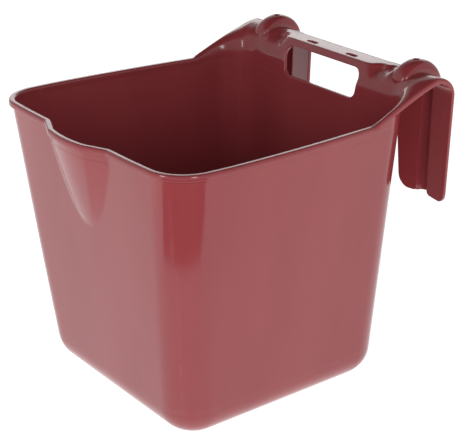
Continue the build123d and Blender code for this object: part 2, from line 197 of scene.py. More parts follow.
class Outline:
    """Right half of the tub's outline in plan at one height: front arc, corner, side arc, corner, rear."""

    def __init__(self, z, inset):
        fx, rx = size_at("front_x", z) - inset, size_at("rear_x", z) - inset
        fy, ry = size_at("front_y", z) + inset, size_at("rear_y", z) - inset
        r = size_at("radius", z) - inset
        sx = (fx + rx) / 2 + size_at("side_bow", z)
        self.rear_y = ry
        self.front, self.front_r = circle_through((-fx, fy), (0, fy - size_at("front_bow", z)), (fx, fy))
        self.side, self.side_r = circle_through((fx, fy), (sx, (fy + ry) / 2), (rx, ry))
        corner = circles_meet(self.front, self.front_r - r, self.side, self.side_r - r)
        across = ry - r - self.side[1]
        self.rear_corner = np.array([self.side[0] + math.sqrt((self.side_r - r) ** 2 - across ** 2), ry - r])
        self.a_front = heading(corner - self.front)
        self.a_side0 = heading(corner - self.side)
        self.a_side1 = heading(self.rear_corner - self.side)
        self.arcs = {"corner": (corner, r, self.a_front, self.a_side0),
                     "side": (self.side, self.side_r, self.a_side0, self.a_side1),
                     "rear_corner": (self.rear_corner, r, self.a_side1, RIGHT_ANGLE)}

    def at(self, segment, f):
        """Point and outward direction at a fraction of a segment."""
        if segment == "rear":
            return np.array([self.rear_corner[0] * (1 - f), self.rear_y]), np.array([0.0, 1.0])
        if segment == "front":
            x = f * (self.front[0] + self.front_r * math.cos(self.a_front))
            centre, r, a = self.front, self.front_r, -math.acos((x - self.front[0]) / self.front_r)
        else:
            centre, r, start, end = self.arcs[segment]
            a = start + (end - start) * f
        out = np.array([math.cos(a), math.sin(a)])
        return centre + out * r, out


@functools.lru_cache(maxsize=None)
def outline_at(z, inset):
    return Outline(z, inset)


def spout_shape(q):
    """The spout's reach across its width, 1 at the nose."""
    q = abs(q)
    if q < SPOUT_NOSE:
        return 1 - SPOUT_NOSE_FALL * (q / SPOUT_NOSE) ** 2
    return max(0.0, (1 - SPOUT_NOSE_FALL) * (1 - q) / (1 - SPOUT_NOSE))


def spout_reach(x, z, inset):
    """How far the front wall is pushed out: a wide mouth that ends in a blunt round tip."""
    total = 0.0
    for dx in SPOUT_BLUR:
        for dz in SPOUT_BLUR:
            rise = (z + dz * SPOUT_TIP_SOFT - SPOUT_TIP_Z - inset * 0.5) / (WALL_TOP_Z - SPOUT_TIP_Z)
            if rise > 0.001:
                half = (SPOUT_HALF - inset * 0.6) * rise ** SPOUT_WIDTH_POWER
                total += rise ** SPOUT_REACH_POWER * spout_shape((x + dx * SPOUT_SOFT) / half)
    return SPOUT_REACH * total / len(SPOUT_BLUR) ** 2


def resample(points, shares):
    """Points of a smooth curve through some points, at given shares of its parameter."""
    p = np.array(points, float)
    n = len(p)
    out = []
    for s in shares:
        u = s * (n - 1)
        i = min(int(u), n - 2)
        t = u - i
        p0, p1, p2, p3 = p[max(i - 1, 0)], p[i], p[i + 1], p[min(i + 2, n - 1)]
        m1 = (p2 - p0) / 2 if i > 0 else p2 - p1
        m2 = (p3 - p1) / 2 if i + 2 < n else p2 - p1
        out.append((2 * t**3 - 3 * t**2 + 1) * p1 + (t**3 - 2 * t**2 + t) * m1
                   + (3 * t**2 - 2 * t**3) * p2 + (t**3 - t**2) * m2)
    return out


def bezier(points, t):
    a, b, c, d = (np.array(p, float) for p in points)
    s = 1 - t
    return s**3 * a + 3 * s * s * t * b + 3 * s * t * t * c + t**3 * d


# ---------------------------------------------------------------- the shell

def round_window(low, high, first, last):
    """Places (row, column) once round a window of a grid."""
    return ([(low, j) for j in range(first, last)] + [(i, last) for i in range(low, high)]
            + [(high, j) for j in range(last, first, -1)] + [(i, first) for i in range(high, low, -1)])


class Shell:
    """Two matching skins of quads, welded where both skins meet."""

    def __init__(self):
        self.top, self.back, self.known = [], [], {}
        self.quads, self.labels = [], []

    def vertex(self, top, back):
        key = tuple(np.round(np.concatenate([top, back]), 2) + 0.0)
        if key not in self.known:
            self.known[key] = len(self.top)
            self.top.append(np.array(top, float))
            self.back.append(np.array(back, float))
        return self.known[key]

    def patch(self, grid, label, windows=()):
        """Adds a grid, less some windows (first and last row, first and last column), and gives its ids.

        label is a name, or a function of a quad's middle on the top skin.
        """
        ids = [[self.vertex(*pair) for pair in row] for row in grid]
        for i, (near, far) in enumerate(zip(ids, ids[1:])):
            for j in range(len(near) - 1):
                if not any(low <= i < high and first <= j < last for low, high, first, last in windows):
                    self.add([near[j], near[j + 1], far[j + 1], far[j]], label)
        return ids

    def add(self, quad, label):
        quad = [v for k, v in enumerate(quad) if v != quad[k - 1]]
        if len(quad) < 3:
            return
        p = [self.top[v] for v in quad]
        middle = sum(p) / len(p)
        (ax, ay, az), (bx, by, bz) = p[2] - p[0], p[-1] - p[1]
        through = middle - sum(self.back[v] for v in quad) / len(quad)
        facing = np.dot((ay * bz - az * by, az * bx - ax * bz, ax * by - ay * bx), through)
        if facing < 0:
            quad = quad[::-1]
        self.quads.append(quad)
        self.labels.append(label(middle) if callable(label) else label)

    def ring(self, outer, steps, place, label):
        """Fills the space between a window's outline (vertex ids) and the edge of a hole in it.

        place(share, k) gives the top and back points a share of the way in from outline point k.
        """
        n = len(outer)
        loops = [outer]
        for step in range(1, steps + 1):
            loops.append([self.vertex(*place(step / steps, k)) for k in range(n)])
        for a, b in zip(loops, loops[1:]):
            for k in range(n):
                m = (k + 1) % n
                self.add([a[k], a[m], b[m], b[k]], label)

    def level_hole(self, outer, spots, heights, power, steps, label):
        """A hole whose edge is level: its spots in plan, and its heights on the two skins."""
        def place(share, k):
            pair = []
            for skin, height in zip((self.top, self.back), heights):
                x, y, z = skin[outer[k]]
                xy = np.array([x, y])
                pair.append(lift(xy + (spots[k] - xy) * share, height + (z - height) * (1 - share) ** power))
            return pair

        self.ring(outer, steps, place, label)


def edge_profile(w, d, t, r):
    """An edge strip's section: (outwards, downwards) points from the top skin's edge to the back skin's.

    w is its width, d its depth, t the sheet's thickness and r the radius it rolls over by.
    """
    r = min(r, w * 0.9, d * 0.42)
    r2 = min(0.9, d * 0.3, w * 0.4)
    skirt = smooth((d - t) / 2.0)
    fall = r + BEAD_FALL * skirt
    points = [(0.0, 0.0), (w - r, 0.0)]
    points += [(w - r + r * math.sin(a), fall - fall * math.cos(a)) for a in (0.4, 0.8, 1.2)]
    points += [(w, fall), (w, max(fall + 0.1, d - r2))]
    points += [(w - r2 + r2 * math.cos(a), d - r2 + r2 * math.sin(a)) for a in (0.5, 1.05)]
    points += [(w - r2, d)]
    plain = [(0.45 * w, t), (0.3 * w, t), (0.15 * w, t)]
    deep = [(0.5, d), (0.0, d - 0.5), (0.0, t + 0.4)]
    points += [tuple(skirt * q + (1 - skirt) * p for p, q in zip(a, b)) for a, b in zip(plain, deep)]
    return points + [(0.0, t)]


def vertex_normals(points, faces):
    """Unit vertex normals of triangles and quads, weighted by area."""
    corners = np.array([face if len(face) == 4 else (*face, face[-1]) for face in faces])
    four = np.array([len(face) == 4 for face in faces])
    p = points[corners]
    normal = np.cross(p[:, 2] - p[:, 0], p[:, 3] - p[:, 1])
    normals = np.zeros_like(points)
    for k in range(3):
        np.add.at(normals, corners[:, k], normal)
    np.add.at(normals, corners[four, 3], normal[four])
    return normals / np.maximum(np.linalg.norm(normals, axis=1), TINY)[:, None]


def settle(p):
    """Ease the tub's front corners in towards the rim, and set the raised back a little lower."""
    x, y, z = p
    corner = abs(x) * max(0.0, -y) / (TOP_SIZE["front_x"] * -TOP_SIZE["front_y"])
    ease = CORNER_EASE * smooth((corner - CORNER_FROM) / CORNER_RUN) * smooth(z / RIM_Z)
    along = math.hypot(x, y) + TINY
    top = RIM_Z + (z - RIM_Z) * BACK_SETTLE if z > RIM_Z else z
    return np.array([x - ease * x / along, y - ease * y / along, top])


def free_loops(free):
    """Loops of vertices from free edges {start: (end, quad)}."""
    loops = []
    left = set(free)
    while left:
        start = a = min(left)
        loop = []
        while a in left:
            left.remove(a)
            loop.append(a)
            a = free[a][0]
        loops.append(loop)
        if a != start:
            raise ValueError("an edge of the shell isn't a closed loop")
    return loops


def build_shell(shell, edge_of, label_of_edge):
    """Edge strips, smooth normals and closed pieces of a shell. Returns {label: (verts, faces, normals)}."""
    top, back = (np.array([settle(p) for p in skin]) for skin in (shell.top, shell.back))
    n = len(top)
    edges = {}
    for q, quad in enumerate(shell.quads):
        for k in range(len(quad)):
            edges.setdefault((quad[k], quad[(k + 1) % len(quad)]), q)
    free = {a: (b, q) for (a, b), q in edges.items() if (b, a) not in edges}
    loops = free_loops(free)

    points = [*top, *back]
    strip_ids = {}
    for loop in loops:
        for k, v in enumerate(loop):
            before, after = top[loop[k - 1]], top[loop[(k + 1) % len(loop)]]
            along = unit(unit(top[v] - before) + unit(after - top[v]))
            t = np.linalg.norm(back[v] - top[v])
            down = unit(back[v] - top[v])
            out = unit(np.cross(along, -down))
            w, d, r = edge_of(top[v], t)
            ids = [v]
            for x, y in edge_profile(w, d, t, r)[1:-1]:
                ids.append(len(points))
                points.append(top[v] + out * x + down * y)
            strip_ids[v] = [*ids, n + v]
    points = np.array(points)
    faces, skins = {}, []

    def put(label, face, kind):
        faces.setdefault(label, []).append((face, kind))
        if kind == "skin":
            skins.append(face)

    for quad, label in zip(shell.quads, shell.labels):
        put(label, tuple(quad), "skin")
        put(label, tuple(n + v for v in reversed(quad)), "skin")
    for (a, b), q in edges.items():
        other = edges.get((b, a))
        if other is not None and shell.labels[other] != shell.labels[q]:
            put(shell.labels[q], (b, a, n + a, n + b), "cut")
    for loop in loops:
        labels = []
        for v in loop:
            b, q = free[v]
            mine = shell.labels[q]
            label = label_of_edge((top[v] + top[b]) / 2, mine)
            labels.append(label)
            s, e = strip_ids[v], strip_ids[b]
            for i in range(len(s) - 1):
                put(label, (e[i], s[i], s[i + 1], e[i + 1]), "skin")
            if label != mine:
                put(mine, (b, v, n + v, n + b), "cut")
                put(label, (v, b, n + b, n + v), "cut")
        for k, v in enumerate(loop):
            if labels[k] != labels[k - 1]:
                put(labels[k], tuple(strip_ids[v][::-1]), "cut")
                put(labels[k - 1], tuple(strip_ids[v]), "cut")
    normals = vertex_normals(points, skins)
    return {label: (points, some, normals) for label, some in faces.items()}


def link(name, data):
    obj = bpy.data.objects.new(name, data)
    bpy.context.scene.collection.objects.link(obj)
    return obj


def make_piece(name, points, faces, normals, mirror=False):
    """A Blender object from some faces of a shell, with the shell's normals on its skins."""
    used = sorted({v for face, _ in faces for v in face})
    new = {v: k for k, v in enumerate(used)}
    sign = np.array([-1.0, 1.0, 1.0]) if mirror else np.ones(3)
    verts = points[used] * sign * MM
    if mirror:
        faces = [(face[::-1], kind) for face, kind in faces]
    mesh = bpy.data.meshes.new(name)
    mesh.from_pydata([tuple(v) for v in verts], [], [[new[v] for v in face] for face, _ in faces])
    mesh.update()
    mesh.polygons.foreach_set("use_smooth", [True] * len(mesh.polygons))
    loop_normals = []
    for polygon, (face, kind) in zip(mesh.polygons, faces):
        flat = tuple(polygon.normal)
        loop_normals += [flat if kind == "cut" else tuple(normals[v] * sign) for v in face]
    mesh.normals_split_custom_set(loop_normals)
    return link(name, mesh)


# ---------------------------------------------------------------- stations round the tub

# Distances from the middle at which columns of the raised back end on the crown
CROWN_X = [136.0, 133.0, 130.0, 127.0, 124.0, 121.0, 118.0, NOTCH_OUT, 112.5, 109.0, 106.0, 104.3]
REAR_X = [101.0, 98.6, NOTCH_IN, 94.0, 92.0, 90.0, 88.0, 86.0, 84.0, 82.0, 80.0, 78.0, 76.0, 74.0, 72.5,
          HOOK_IN_X + THIN_EDGE, 69.0, 67.0, 64.5, BAR_HALF, 59.0, 56.0, 52.5, 49.0, 45.5, 42.0, 40.0, 37.5,
          35.0, 32.5, 30.0, 27.5, 25.0, 22.5, 20.0, 16.0, 12.0, 8.0, 4.0, 0.0]


def crown_turn():
    """Direction from the rear corner's centre to where the edging meets the crown."""
    centre = outline_at(WALL_TOP_Z, 0).rear_corner
    return math.atan2(CROWN_Y - centre[1], HOOK_OUT_X - EDGE_WIDTH - centre[0])


def half_stations():
    """(segment, share) from the middle of the front round the right side to the middle of the rear."""
    def spread(segment, start, end, count):
        return [(segment, f) for f in np.linspace(start, end, count)[1:]]

    outline = outline_at(WALL_TOP_Z, 0)
    start, end, centre = outline.a_side0, outline.a_side1, outline.rear_corner
    edging = (math.asin((EDGING_Y - outline.side[1]) / outline.side_r) - start) / (end - start)
    angles = [*np.linspace(end, crown_turn(), 17)[1:],
              *(math.atan2(CROWN_Y - centre[1], x - centre[0]) for x in CROWN_X), RIGHT_ANGLE]
    return [("front", 0.0), *spread("front", 0, 0.56, 53), *spread("front", 0.56, 1, 13),
            *spread("corner", 0, 1, 17), *spread("side", 0, edging, 41), *spread("side", edging, 1, 8),
            *(("rear_corner", (a - end) / (RIGHT_ANGLE - end)) for a in angles),
            *(("rear", 1 - x / centre[0]) for x in REAR_X)]


STATIONS = half_stations()
N_HALF = len(STATIONS)
N_ALL = 2 * N_HALF - 2
FLARE_START = max(k for k, (segment, _) in enumerate(STATIONS) if segment == "side") - 7


@functools.lru_cache(maxsize=None)
def row_points(z, inset):
    """The tub's outline in plan at a height, at every station all the way round."""
    outline = outline_at(z, inset)
    points = []
    for segment, f in STATIONS:
        p, _ = outline.at(segment, f)
        if segment == "front":
            p = p - np.array([0, spout_reach(p[0], z, inset)])
        points.append(p)
    points = np.array(points)
    return np.concatenate([points, points[-2:0:-1] * np.array([-1.0, 1.0])])


def side_name(p):
    return "right" if p[0] > 0 else "left"


def label_wall(p):
    """The region of the walls that a point is in."""
    x, y, z = p
    if z < PAN_Z:
        return "floor_pan"
    share = (z - SPOUT_TIP_Z + 1) / (RIM_Z - SPOUT_TIP_Z + 3)
    half = SPOUT_PART_HALF + (SPOUT_HALF + 1 - SPOUT_PART_HALF) * share
    if y < 0 and z > SPOUT_TIP_Z - 1 and abs(x) < half:
        return "pour_spout"
    if abs(x) > abs(y):
        return side_name(p) + "_wall"
    return "rear_wall" if y > 0 else "front_wall"


def label_rim(p):
    if p[2] < WALL_TOP_Z:
        return label_wall(p)
    if p[1] >= FRONT_RIM_Y:
        return side_name(p) + "_rim"
    return "spout_lip" if abs(p[0]) < LIP_HALF else "front_" + side_name(p) + "_rim"


def label_back(p):
    if p[2] < WALL_TOP_Z:
        return label_wall(p)
    if abs(p[0]) < BAR_HALF and p[2] > BAR_PART_Z:
        return "grip_bar"
    return side_name(p) + "_shoulder"


def add_tub(shell):
    """Floor and walls, up to JOIN_Z."""
    rows = []             # top z, top inset, back z, back inset
    top_r = BASE_EDGE - WALL
    for a in np.linspace(0, RIGHT_ANGLE, 13):
        rise, out = 1 - math.cos(a), 1 - math.sin(a)
        rows.append((FLOOR + top_r * rise, WALL + top_r * out, BASE_EDGE * rise, BASE_EDGE * out))
    heights = [*np.linspace(PAN_Z, 180, 26), *np.arange(182.5, JOIN_Z, 2.5), JOIN_Z]
    rows += [(z, WALL, z, 0.0) for z in heights]
    grid = []
    for z_t, inset_t, z_b, inset_b in rows:
        top, back = row_points(z_t, inset_t), row_points(z_b, inset_b)
        grid.append([(lift(top[k], z_t), lift(back[k], z_b)) for k in (*range(N_ALL), 0)])
    shell.patch(grid, label_wall)
    scales = [np.array([share, share, 1.0]) for share in FLOOR_RINGS]
    shell.patch([[(p * scale, q * scale) for p, q in grid[0]] for scale in scales], "floor_pan")


# ---------------------------------------------------------------- rim and raised back

N_ROWS = 31
ROW_SHARES = np.linspace(0, 1, N_ROWS)
# Section of the rim: (outwards from the inner face, z) along the top, then along the back
RIM_TOP = resample([
    (0, JOIN_Z), (0, 259), (0, 262), (0, 265), (0, 267.2), (0.25, 268.5), (0.8, 269.4), (1.6, 269.9),
    (2.5, 270), (3.5, 270), (RIM_TOP_OUT, 270)], ROW_SHARES)
RIM_BACK = resample([
    (3, JOIN_Z), (3, 258.5), (3, 261), (3, 263.5), (3, 265.2), (3.02, 266.2), (3.1, 266.7), (3.3, 266.95),
    (3.6, 267), (4.0, 267), (RIM_TOP_OUT, 267)], ROW_SHARES)


def plan_normals(points):
    """Outward directions of a closed outline in plan."""
    along = np.roll(points, -1, axis=0) - np.roll(points, 1, axis=0)
    out = np.stack([along[:, 1], -along[:, 0]], axis=1)
    return out / np.linalg.norm(out, axis=1)[:, None]


@functools.lru_cache(maxsize=None)
def rim_grid():
    """The whole rim's grid, from the wall out to the edge strip."""
    outs = plan_normals(row_points(WALL_TOP_Z, WALL))
    grid = []
    for (out_t, z_t), (out_b, z_b) in zip(RIM_TOP, RIM_BACK):
        top = row_points(min(z_t, WALL_TOP_Z), WALL) + outs * out_t
        back = row_points(min(z_b, WALL_TOP_Z), WALL) + outs * out_b
        if z_b == JOIN_Z:
            back = row_points(JOIN_Z, 0.0)
        grid.append([(lift(p, z_t), lift(q, z_b)) for p, q in zip(top, back)])
    return grid


def add_rim(shell):
    columns = [*range(N_ALL - FLARE_START, N_ALL), *range(FLARE_START + 1)]
    shell.patch([[row[k] for k in columns] for row in rim_grid()], label_rim)


# Section of the raised back at distances from the middle: (y, z) along the top, then along the back.
# All sections share a foot.
KEY_X = [0.0, 60.0, BAR_HALF + 4, 72.0, 78.0, 84.0, 92.0, 103.0]
KEY_NAMES = ["bar", "bar", "bar_end", "pocket", "pocket", "pocket_end", "shoulder", "shoulder"]
FOOT_TOP = [(126.0, JOIN_Z), (126.3, 264), (126.8, 272), (127.4, 278.5)]
FOOT_BACK = [(129.0, JOIN_Z), (129.4, 264), (130.0, 271)]
KEY_TOP = {
    "bar": [(128.8, 284.0), (130.9, 289.5), (133.3, 294.7), (135.4, 298.4), (136.4, 299.6), (137.9, 300.1),
            (142, BAR_TOP), (147.5, BAR_TOP), (CROWN_Y, BAR_TOP)],
    "bar_end": [(128.8, 284.0), (130.9, 288.9), (133.8, 293.4), (137.3, 297.6), (138.6, 299.3),
                (140.3, 300.1), (144, BAR_TOP), (148.5, BAR_TOP), (CROWN_Y, BAR_TOP)],
    "pocket": [(128.7, 283.4), (130.9, 287.5), (134.3, 290.8), (138.8, 293.2), (142.5, 294.9), (144.9, 297.6),
               (146.4, 299.6), (148.6, 300.2), (CROWN_Y, 300.3)],
    "pocket_end": [(128.7, 283.4), (130.9, 287.7), (134.3, 291.4), (138.8, 294.4), (143.0, 296.2),
                   (146.6, 297.4), (149.2, 298.9), (151, 300.1), (CROWN_Y, 300.4)],
    "shoulder": [(128.7, 283.8), (130.9, 288.6), (133.8, 292.6), (137.2, 295.7), (140.8, 297.9),
                 (144.2, 299.3), (147.4, 300.0), (150.3, 300.4), (CROWN_Y, CROWN_Z)],
}
KEY_BACK = {
    "bar": [(130.9, 277.5), (132.3, 282.8), (134.4, 287.6), (136.7, 291.6), (139.0, 294.2), (141.0, 295.6),
            (143.2, 296.3), (146.0, BAR_UNDER), (149.5, BAR_UNDER), (CROWN_Y, BAR_UNDER)],
    "pocket": [(130.9, 276.5), (132.1, 280.8), (134.2, 284.5), (137.2, 287.4), (140.9, 289.6), (144.0, 291.2),
               (146.8, 293.4), (148.9, 295.4), (150.7, 296.4), (CROWN_Y, 296.8)],
    "shoulder": [(130.9, 276.8), (132.3, 281.4), (134.4, 285.6), (137.0, 289.2), (140.0, 292.0),
                 (143.0, 294.1), (145.6, 295.5), (148.2, 296.3), (150.6, 296.8), (CROWN_Y, CROWN_Z - SHEET)],
}
KEY_BACK["bar_end"], KEY_BACK["pocket_end"] = KEY_BACK["bar"], KEY_BACK["pocket"]
KEY_LINES = [[np.array(foot + rest[name]) for name in KEY_NAMES]
             for foot, rest in ((FOOT_TOP, KEY_TOP), (FOOT_BACK, KEY_BACK))]


def back_section(x):
    """Top and back lines of the raised back at a distance from the middle, in (y, z)."""
    x = min(abs(x), KEY_X[-1])
    i = max(k for k, key in enumerate(KEY_X[:-1]) if key <= x)
    t = smooth((x - KEY_X[i]) / (KEY_X[i + 1] - KEY_X[i]))
    return [resample(keys[i] + (keys[i + 1] - keys[i]) * t, ROW_SHARES) for keys in KEY_LINES]


def edging_z(y):
    run = clip((y - EDGING_Y) / (CROWN_Y - EDGING_Y))
    return RIM_Z + (CROWN_Z - RIM_Z) * (1 - (1 - run) ** EDGING_CURVE)


def edging_x(y):
    return EDGING_X + EDGING_SLOPE * (y - EDGING_Y)


def flare_end(segment, wall, out):
    """Where a column of the flare ends on the edging or the crown, and how much of a flare it still is."""
    outline = outline_at(WALL_TOP_Z, 0)
    centre = outline.rear_corner

    def on_edging(way):
        start = edging_x(centre[1]) - EDGE_WIDTH - centre[0]
        return centre + way * start / (way[0] - EDGING_SLOPE * way[1])

    if segment == "side":
        # ends run further and further back than their feet, so that side and corner meet
        last, last_out = outline.at("side", 1.0)
        y = wall[1] + (wall[1] - EDGING_Y) * (on_edging(last_out)[1] - last[1]) / (last[1] - EDGING_Y)
        return np.array([edging_x(y) - EDGE_WIDTH, y]), edging_z(y), 1.0
    angle, turn = heading(out), crown_turn()
    if angle < turn - 1e-6:
        end = on_edging(out)
        return end, edging_z(end[1]), 1.0
    end = centre + out * ((CROWN_Y - centre[1]) / out[1])
    return end, CROWN_Z, smooth((RIGHT_ANGLE - angle) / (RIGHT_ANGLE - turn))


# Middle control points of a flare's curve, as shares of its reach and rise, and how much its foot is hollowed
FLARE_FOOT, FLARE_ROLL, FLARE_HOLLOW = (0.03, 0.83), (0.11, 0.96), 0.12
WALL_SHARE = 0.12         # share of a flare's rows that still follow the wall
RIMLIKE_RUN = 16.0        # the flare keeps the rim's section this far behind the edging's start
FOOT_ROWS = 6             # rows over which the raised back eases onto the wall


def flare_lines(segment, wall, out):
    """Top and back lines of a flare: like the rim at the edging's start, like the shoulder at the rear."""
    base = wall - out * WALL
    end, end_z, flare = flare_end(segment, wall, out)
    reach, out = np.linalg.norm(end - base), unit(end - base)
    rise = end_z - WALL_TOP_Z
    hollow = FLARE_HOLLOW * flare
    curve = [(0, WALL_TOP_Z), (FLARE_FOOT[0] * reach, WALL_TOP_Z + FLARE_FOOT[1] * (1 - hollow) * rise),
             ((FLARE_ROLL[0] + 0.5 * hollow) * reach, WALL_TOP_Z + FLARE_ROLL[1] * rise), (reach, end_z)]
    shoulder = back_section(KEY_X[-1])
    foot_y = shoulder[0][0][0]
    scale = np.array([reach / (CROWN_Y - foot_y), 1])
    rimlike = 1 - smooth((end[1] - EDGING_Y) / RIMLIKE_RUN)
    from_back = (1 - flare) ** 1.5
    lines = [], []
    for r in range(N_ROWS):
        s = r / (N_ROWS - 1)
        if s < WALL_SHARE:
            z = JOIN_Z + (WALL_TOP_Z - JOIN_Z) * s / WALL_SHARE
            p, q = np.array([0.0, z]), np.array([WALL, z])
        else:
            u = (s - WALL_SHARE) / (1 - WALL_SHARE)
            p = bezier(curve, u)
            along = unit(bezier(curve, min(1, u + 0.01)) - bezier(curve, max(0, u - 0.01)))
            thick = WALL + (SHEET - WALL) * min(1, u * 2) * (1 - rimlike)
            below = np.array([reach, end_z - thick])
            level = clip((u - 0.8) / 0.2)
            q = (p + np.array([along[1], -along[0]]) * thick) * (1 - level) + below * level
        wider = (reach - WALL) / (RIM_TOP_OUT - WALL)
        rim_p = (RIM_TOP[r][0] * reach / RIM_TOP_OUT, RIM_TOP[r][1] + (end_z - RIM_Z) * s)
        rim_q = (WALL + (RIM_BACK[r][0] - WALL) * wider, RIM_BACK[r][1] + (end_z - RIM_Z) * s)
        for line, point, rim, section in zip(lines, (p, q), (rim_p, rim_q), shoulder):
            point = point * (1 - rimlike) + np.array(rim) * rimlike
            rear = np.array([section[r][0] - foot_y, section[r][1]]) * scale
            point = point * (1 - from_back) + rear * from_back
            line.append(lift(base + out * point[0], point[1]))
    return lines


def flare_column(k):
    """The raised back's column at station k of the right half, from side to middle."""
    if k == FLARE_START:
        return [row[k] for row in rim_grid()]
    segment, f = STATIONS[k]
    wall, out = outline_at(WALL_TOP_Z, 0).at(segment, f)
    if segment == "rear":
        lines = [[np.array([wall[0], y, z]) for y, z in line] for line in back_section(wall[0])]
        way = np.array([1.0, 0.0, 0.0])
    else:
        lines = flare_lines(segment, wall, out)
        way = np.ones(3)
    for line, inset in zip(lines, (WALL, 0)):
        foot = lift(outline_at(JOIN_Z, inset).at(segment, f)[0], JOIN_Z)
        shift = foot - line[0]
        line[0] = foot
        for r in range(1, FOOT_ROWS):
            line[r] = line[r] + way * shift * (1 - r / FOOT_ROWS)
    return list(zip(*lines))


def add_back(shell):
    """Raised back: flares, shoulders and grip bar, with the hand hole, the slots and the ribs' notches.

    Returns its columns' places along the crown.
    """
    columns = [flare_column(k) for k in range(FLARE_START, N_HALF)]
    flip = np.array([-1.0, 1.0, 1.0])
    columns += [[(p * flip, q * flip) for p, q in column] for column in columns[-2::-1]]
    grid = list(zip(*columns))
    crown_x = [p[0] for p, _ in grid[-1]]

    def columns_near(x, half):
        near = [j for j, crown in enumerate(crown_x) if abs(crown - x) < half]
        return near[0], near[-1]

    middle = [row[len(columns) // 2][0] for row in grid]
    hole_high = max(r for r, (_, y, z) in enumerate(middle) if y < HOLE_ROWS[0] and z < HOLE_ROWS[1])
    hole = (1, hole_high, *columns_near(0, BAR_HALF + 0.01))
    slot_low = max(r for r, (_, y, _) in enumerate(middle) if y < SLOT_ROWS[0])
    slot_high = min(r for r, (_, y, _) in enumerate(middle) if y > SLOT_ROWS[1])
    slots = [(slot_low, slot_high, *columns_near(x, SLOT_SPREAD[0] + 0.1)) for x in (-SLOT_X, SLOT_X)]
    notches = []
    for x in (-RIB_X, RIB_X):
        first, last = columns_near(x, NOTCH_HALF + 0.05)
        low = min(r for r, row in enumerate(grid) if row[(first + last + 1) // 2][0][1] > NOTCH_ROWS)
        notches.append((low, N_ROWS - 1, first, last))
    ids = shell.patch(grid, label_back, [hole, *slots, *notches])

    def surface(line, x, z):
        """y on the raised back's top (0) or back (1) line at a height."""
        ys, zs = zip(*back_section(x)[line])
        return float(np.interp(z, zs, ys))

    low, high, first, _ = hole
    places = round_window(*hole)
    outer = [ids[i][j] for i, j in places]
    inner = [hole_spot(grid[i][j][0][0] / abs(crown_x[first]), (i - low) / (high - low)) for i, j in places]

    def place_hole(share, k):
        pair = []
        for line, skin in enumerate((shell.top, shell.back)):
            x0, y0, z0 = skin[outer[k]]
            x, z = x0 + (inner[k][0] - x0) * share, z0 + (inner[k][1] - z0) * share
            y = surface(line, x, z) + (y0 - surface(line, x0, z0)) * (1 - share)
            pair.append(np.array([x, y, z]))
        return pair

    shell.ring(outer, 4, place_hole, label_back)
    for sign, slot in zip((-1, 1), slots):
        outer = [ids[i][j] for i, j in round_window(*slot)]
        centre = np.array([sign * SLOT_X, SLOT_Y])
        spots = [centre + slot_spot(heading((shell.top[v][:2] - centre) / SLOT_SPREAD)) for v in outer]
        shell.level_hole(outer, spots, (BAR_TOP, BAR_UNDER), 1, 3, label_back)
    return crown_x


def hole_spot(u, v):
    """(x, z) on the hand hole's edge, a rounded trapezoid, for u, v on the edge of [-1, 1] x [0, 1]."""
    low_half, high_half, r = HOLE_BOTTOM_HALF + HOLE_EDGE, HOLE_TOP_HALF + HOLE_EDGE, HOLE_CORNER
    z = HOLE_LOW + (HOLE_HIGH - HOLE_LOW) * v
    x = u * (low_half + (high_half - low_half) * v)
    cz = min(max(z, HOLE_LOW + r), HOLE_HIGH - r)
    half = low_half + (high_half - low_half) * (cz - HOLE_LOW) / (HOLE_HIGH - HOLE_LOW) - r
    cx = min(max(x, -half), half)
    dx, dz = x - cx, z - cz
    if abs(dx) > 1e-6 and abs(dz) > 1e-6:
        length = math.hypot(dx, dz)
        return cx + dx / length * r, cz + dz / length * r
    return x, z


def slot_spot(angle):
    """A point on a slot's edge in a direction from its middle: straight sides and round ends."""
    radius = SLOT_WIDTH / 2 + SLOT_EDGE
    straight = SLOT_LENGTH / 2 + SLOT_EDGE - radius
    dx, dy = math.cos(angle), math.sin(angle)
    far = radius / max(abs(dy), 1e-6)
    if abs(dx) * far > straight:
        c = math.copysign(straight, dx)
        far = dx * c + math.sqrt((dx * c) ** 2 - (c * c - radius * radius))
    return np.array([dx * far, dy * far])


# ---------------------------------------------------------------- bar's rear edge and hooks

BAR_ROLL = [
    [(CROWN_Y, BAR_TOP), (154.4, BAR_TOP), (155.8, BAR_TOP), (157.6, 299.85), (159.1, 298.8), (160.1, 297.3),
     (160.5, 295.6), (160.5, 294.0), (160.5, 292.3)],
    [(CROWN_Y, BAR_UNDER), (153.8, BAR_UNDER), (154.6, BAR_UNDER), (155.4, 296.5), (156.1, 296.1),
     (156.6, 295.4), (156.9, 294.6), (156.9, 293.5), (156.9, 292.3)],
]


def arch_point(a, thick):
    return np.array([CROWN_Y + (ARCH_R - thick) * math.cos(a), ARCH_Z + (ARCH_R - thick) * math.sin(a)])


def add_bar_roll(shell):
    """The bar's rear edge, which rolls down and joins the two arches."""
    end = HOOK_IN_X + THIN_EDGE
    xs = [x for x in REAR_X if x <= end + 0.01]
    xs += [-x for x in xs[-2::-1]]
    grid = []
    for r, a in enumerate(ARCH_SHARED):
        row = []
        for x in xs:
            t = smooth((abs(x) - BAR_HALF) / (end - BAR_HALF))
            pair = [np.array(line[r]) * (1 - t) + arch_point(a, thick) * t
                    for line, thick in zip(BAR_ROLL, (0, SHEET))]
            if r == 0:
                pair = [line[-1] for line in back_section(x)]
            row.append([np.array([x, *p]) for p in pair])
        grid.append(row)
    shell.patch(grid, "grip_bar")


def leg_path(s, thick):
    """(y, z) on the hook at a distance s along its outer face from the crown."""
    if s <= BEND:
        return arch_point(RIGHT_ANGLE - s / ARCH_R, thick)
    return arch_point(-LEAN, thick) + (s - BEND) * np.array([-math.sin(LEAN), -math.cos(LEAN)])


